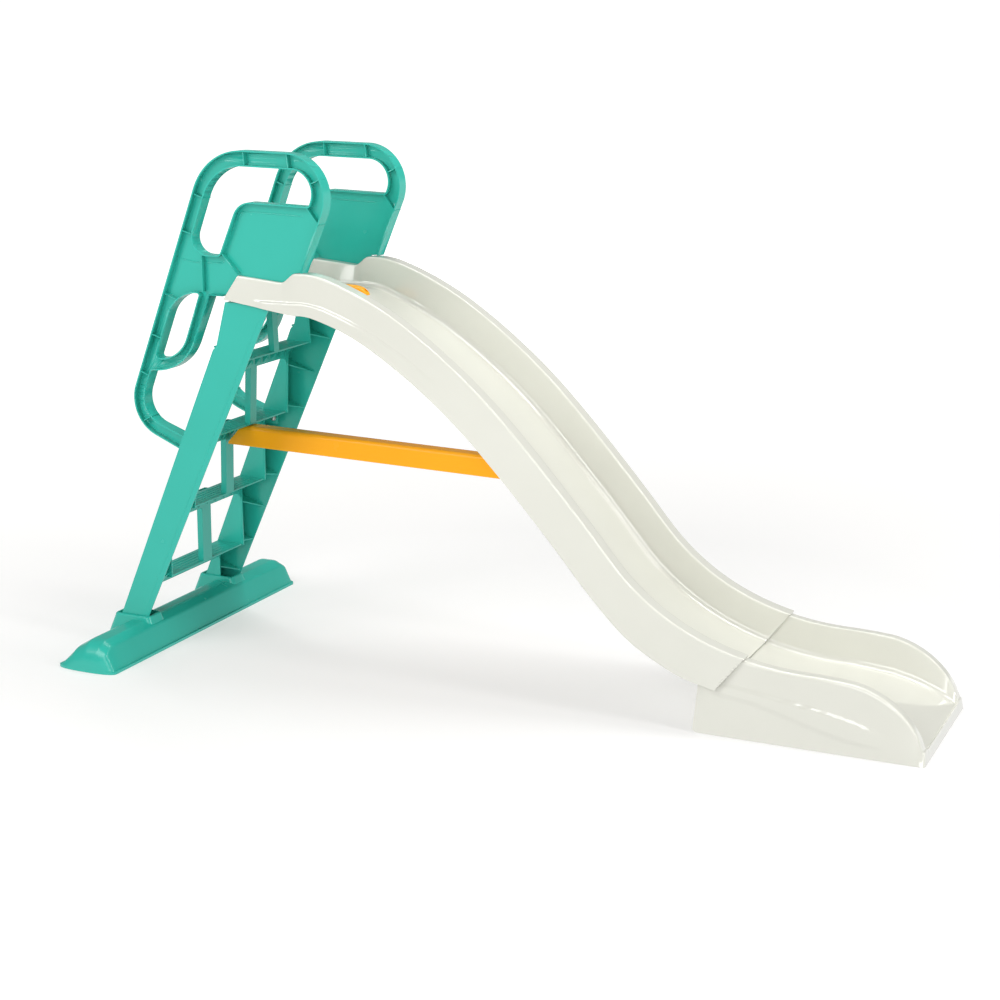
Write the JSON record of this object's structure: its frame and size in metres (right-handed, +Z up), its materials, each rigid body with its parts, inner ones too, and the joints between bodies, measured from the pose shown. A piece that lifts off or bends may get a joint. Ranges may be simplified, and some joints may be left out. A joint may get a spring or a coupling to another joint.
{
  "type": "toddler slide",
  "caption": "Free-standing toddler slide: open-riser ladder with flat loop handrails, a wavy two-section chute, a cross foot, a brace and a water nozzle at the top.",
  "frame": {"origin": "middle of the footprint's length and width, on the ground", "axes": "+X from the ladder towards the slide's exit, +Y to the left of a child sliding down, +Z up"},
  "size_m": [1.87, 0.7754, 1.119],
  "materials": {
    "slide_plastic": "glossy blow-moulded off-white polyethylene",
    "teal_plastic": "satin injection-moulded teal polypropylene",
    "yellow_plastic": "semi-gloss yellow-orange plastic",
    "zinc_steel": "zinc-plated steel fasteners",
    "seal_rubber": "soft black rubber"
  },
  "bodies": {
    "slide_frame": {"slide_upper": "slide_plastic", "slide_lower": "slide_plastic", "ladder": "teal_plastic", "handrail_left": "teal_plastic", "handrail_right": "teal_plastic", "foot": "teal_plastic", "brace": "yellow_plastic", "nozzle_seal": "seal_rubber", "top_bolt_left": "zinc_steel", "top_bolt_right": "zinc_steel", "top_nut_left": "zinc_steel", "top_nut_right": "zinc_steel", "tongue_screw_left_1": "zinc_steel", "tongue_screw_left_2": "zinc_steel", "tongue_screw_right_1": "zinc_steel", "tongue_screw_right_2": "zinc_steel", "tail_screw_left": "zinc_steel", "tail_screw_right": "zinc_steel", "tail_washer_left": "zinc_steel", "tail_washer_right": "zinc_steel", "brace_tread_screw": "zinc_steel", "brace_screw_left": "zinc_steel", "brace_screw_right": "zinc_steel", "seam_screw_left": "zinc_steel", "seam_screw_right": "zinc_steel", "seam_washer_left": "zinc_steel", "seam_washer_right": "zinc_steel", "foot_screw_left": "zinc_steel", "foot_screw_right": "zinc_steel"},
    "nozzle": {"water_nozzle": "yellow_plastic", "nozzle_retainer": "yellow_plastic"}
  },
  "joints": [
    {"name": "nozzle_swivel", "type": "hinge", "parent": "slide_frame", "child": "nozzle", "pos_m": [-0.39, 0, 0.804], "axis": [0, 0, 1], "range_deg": [-30, 30]}
  ]
}
